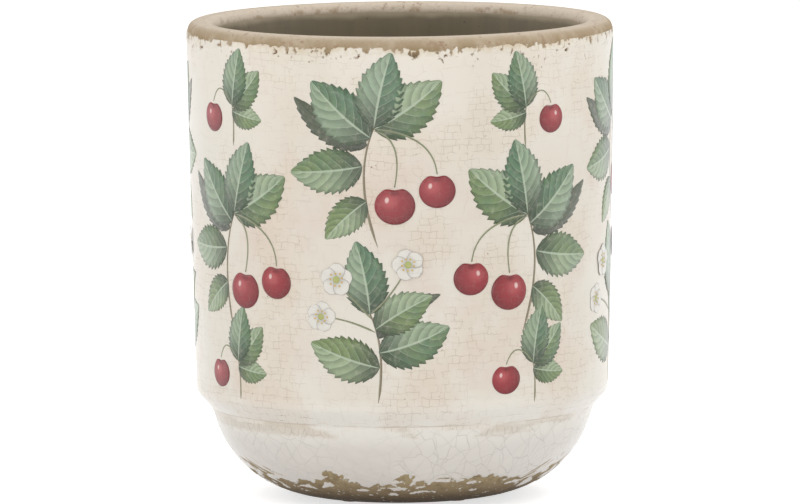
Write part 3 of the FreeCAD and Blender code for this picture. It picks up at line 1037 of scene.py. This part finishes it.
def make_fruit_print():
    """Painted cherries: crimson, shaded to the lower right, with a soft light and a dark dent."""
    red = (0.285, 0.022, 0.028, 1)
    pink = (0.45, 0.078, 0.085, 1)
    crimson = (0.145, 0.008, 0.012, 1)
    glint = (0.82, 0.62, 0.58, 1)
    light_spot, light_band = (0.36, 0.62, 1.0), (0.03, 0.34)
    shade_band, shade_share = (0.30, 0.72), 0.85
    stalk_spot, stalk_band, stalk_share = (0.5, 0.92, 0.7), (0.16, 0.03), 0.7
    glint_spot, glint_band, glint_share = (0.30, 0.66, 1.6), (0.11, 0.05), 0.8
    cherry_fade_share = 0.05
    cherry = Print("fruit_print", pink)

    def distance(across, up, stretch):
        """How far a spot of the cherry is from a point on it, stretched across."""
        shift_x = cherry.times(cherry.math("SUBTRACT", cherry.along, across), stretch)
        shift_y = cherry.math("SUBTRACT", cherry.side, up)
        square = cherry.math("ADD", cherry.times(shift_x, shift_x), cherry.times(shift_y, shift_y))
        return cherry.math("SQRT", square)

    light = distance(*light_spot)
    cherry.layer(cherry.between(light, light_band), red)
    cherry.layer(cherry.between(light, shade_band), crimson, shade_share)
    cherry.layer(cherry.between(distance(*stalk_spot), stalk_band), crimson, stalk_share)
    cherry.layer(cherry.between(distance(*glint_spot), glint_band), glint, glint_share)
    return cherry.fire(cherry_fade_share)


def make_petal_print():
    """Painted petals: white, greyed towards the heart, with a thin darker edge."""
    petal_white = (0.76, 0.73, 0.67, 1)
    petal_grey = (0.52, 0.50, 0.45, 1)
    petal_line = (0.40, 0.36, 0.34, 1)
    heart_band = (0.6, 0.05)
    vein_count, vein_band, vein_share = 7.0, (0.12, 0.0), 0.25
    side_band, end_band, edge_share = (0.86, 0.97), (0.93, 0.985), 0.6
    petal = Print("petal_print", petal_white)
    veins = petal.math("PINGPONG", petal.times(petal.side, vein_count), 0.5)
    edge = petal.math("MAXIMUM", petal.between(petal.out, side_band), petal.between(petal.along, end_band))
    petal.layer(petal.between(petal.along, heart_band), petal_grey)
    petal.layer(petal.between(veins, vein_band), petal_grey, vein_share)
    petal.layer(edge, petal_line, edge_share)
    return petal.fire()


def make_heart_print():
    """The flowers' hearts: green-yellow, with golden stamens."""
    heart_green = (0.42, 0.44, 0.14, 1)
    stamen_gold = (0.62, 0.42, 0.10, 1)
    gold_band = (0.3, 0.7)
    heart = Print("heart_print", heart_green)
    heart.layer(heart.between(heart.tone, gold_band), stamen_gold)
    return heart.fire()


for mesh, name, material in [
    (leaf_print, "leaf_transfers", make_leaf_print()),
    (stem_print, "stem_transfers", make_stem_print()),
    (fruit_print, "cherry_transfers", make_fruit_print()),
    (petal_print, "petal_transfers", make_petal_print()),
    (heart_print, "heart_transfers", make_heart_print()),
]:
    bmesh.ops.remove_doubles(mesh, verts=mesh.verts, dist=tip_gap)
    transfer = finish_piece(mesh, name, material, glaze_crease)
    thickness = transfer.modifiers.new("film", "SOLIDIFY")
    thickness.thickness = film
    thickness.offset = -1

# Drain plug
# A ribbed rubber bung with a waisted grip, pushed into the drain hole from inside.
# It is moulded in one, and is lifted out by hand to let the water go.


def make_rubber():
    """Dark rubber, dusty on its faces."""
    rubber = (0.030, 0.029, 0.028, 1)
    dust = (0.11, 0.10, 0.088, 1)
    dust_size, dust_band, dust_share = 0.004, (0.4, 0.75), 0.5
    grain_size, grain_depth = 0.0004, 0.00008
    plug = Finish("plug_rubber", rubber, roughness=0.6)
    plug.layer(plug.patches(dust_size, dust_band), dust, dust_share)
    plug.emboss(plug.cloud(grain_size, detail=3.0), grain_depth)
    return plug.material


def dress(node, material):
    """Gives a piece of the frame its finish."""
    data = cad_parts[node].data
    data.materials.clear()
    data.materials.append(material)


dress("drain_plug", make_rubber())

# Foot pads
# Four round pads, punched from a sheet of pressed cork granules.
# They are stuck under the foot ring, so that the clay doesn't scratch what it stands on.
pad_count = 4


def make_cork():
    """Pressed cork: pale granules with dark ones among them."""
    cork = (0.47, 0.30, 0.165, 1)
    cork_dark = (0.21, 0.12, 0.065, 1)
    granule_size, granule_depth = 0.0009, 0.0001
    dark_band = (0.45, 1.0)
    pad = Finish("pad_cork", cork, roughness=0.85)
    granules = pad.add("ShaderNodeTexVoronoi", {"Vector": pad.place, "Scale": 1 / granule_size})
    shade = pad.add("ShaderNodeSeparateColor", {"Color": granules["Color"]})["Red"]
    pad.layer(pad.between(shade, dark_band), cork_dark)
    pad.emboss(granules["Distance"], granule_depth)
    return pad.material


pad_cork = make_cork()
for number in range(1, pad_count + 1):
    dress(f"foot_pad_{number}", pad_cork)

# Studio
# A sweep of white paper that the pot stands on, with soft boxes above, in front and to the sides.
# The camera stands well back with a long lens, a little above the pot.
white = (1, 1, 1, 1)
floor_grey = (0.8, 0.8, 0.8, 1)
floor_size = 6.0
floor_glow = 0.66
sky_light = 0.53
aim_height = 0.09126
softboxes = [
    ("key_softbox", (-0.7, -1.4, 1.6), (1.2, 1.2), 5.0),
    ("front_card", (0.0, -1.5, 0.14), (2.2, 0.3), 6.2),
    ("left_softbox", (-1.5, -0.1, 0.62), (1.2, 1.2), 5.4),
    ("right_softbox", (1.5, -0.1, 0.62), (1.2, 1.2), 4.9),
    ("top_softbox", (0.8, 0.1, 1.5), (0.9, 0.9), 4.6),
]
camera_distance = 4.0
camera_rise = math.radians(6.4)
camera_roll = math.radians(0.45)
camera_side = -0.0006
camera_lens = 480.0
sensor_width = 36.0


def light_seen(nodes):
    """1 for what the camera sees, straight or by reflection or through glass, and 0 for other light."""
    path = nodes.add("ShaderNodeLightPath", {})
    seen = nodes.math("MAXIMUM", path["Is Camera Ray"], path["Is Glossy Ray"])
    return nodes.math("MAXIMUM", seen, path["Is Transmission Ray"])


world = bpy.data.worlds.new("studio")
world.use_nodes = True
bpy.context.scene.world = world
sky = Nodes(world.node_tree)
background = world.node_tree.nodes["Background"].inputs
background["Color"].default_value = white
strength = sky.add("ShaderNodeMapRange", {"Value": light_seen(sky), "To Min": sky_light, "To Max": 1.0})
world.node_tree.links.new(strength["Result"], background["Strength"])

floor_mesh = bmesh.new()
bmesh.ops.create_grid(floor_mesh, x_segments=1, y_segments=1, size=floor_size)
floor_data = bpy.data.meshes.new("floor")
floor_mesh.to_mesh(floor_data)
floor_mesh.free()
paper = Finish("floor_paper", floor_grey, roughness=0.9)
paper.shader["Emission Color"].default_value = white
paper.tree.links.new(paper.times(light_seen(paper), floor_glow), paper.shader["Emission Strength"])
floor_data.materials.append(paper.material)
floor = bpy.data.objects.new("floor", floor_data)
bpy.context.collection.objects.link(floor)


def aim(thing, target):
    """Turns a lamp or a camera to look at a point."""
    thing.rotation_euler = (Vector(target) - thing.location).to_track_quat("-Z", "Y").to_euler()


for name, place, (width, height), power in softboxes:
    lamp = bpy.data.lights.new(name, "AREA")
    lamp.shape = "RECTANGLE"
    lamp.size = width
    lamp.size_y = height
    lamp.energy = power
    box = bpy.data.objects.new(name, lamp)
    box.location = place
    bpy.context.collection.objects.link(box)
    aim(box, (0, 0, aim_height))

camera_data = bpy.data.cameras.new("camera")
camera_data.lens = camera_lens
camera_data.sensor_width = sensor_width
camera = bpy.data.objects.new("camera", camera_data)
camera_height = aim_height + camera_distance * math.sin(camera_rise)
camera.location = (camera_side, -camera_distance * math.cos(camera_rise), camera_height)
bpy.context.collection.objects.link(camera)
aim(camera, (camera_side, 0, aim_height))
camera.rotation_euler.rotate_axis("Z", -camera_roll)
bpy.context.scene.camera = camera
bpy.context.scene.view_settings.view_transform = "Standard"
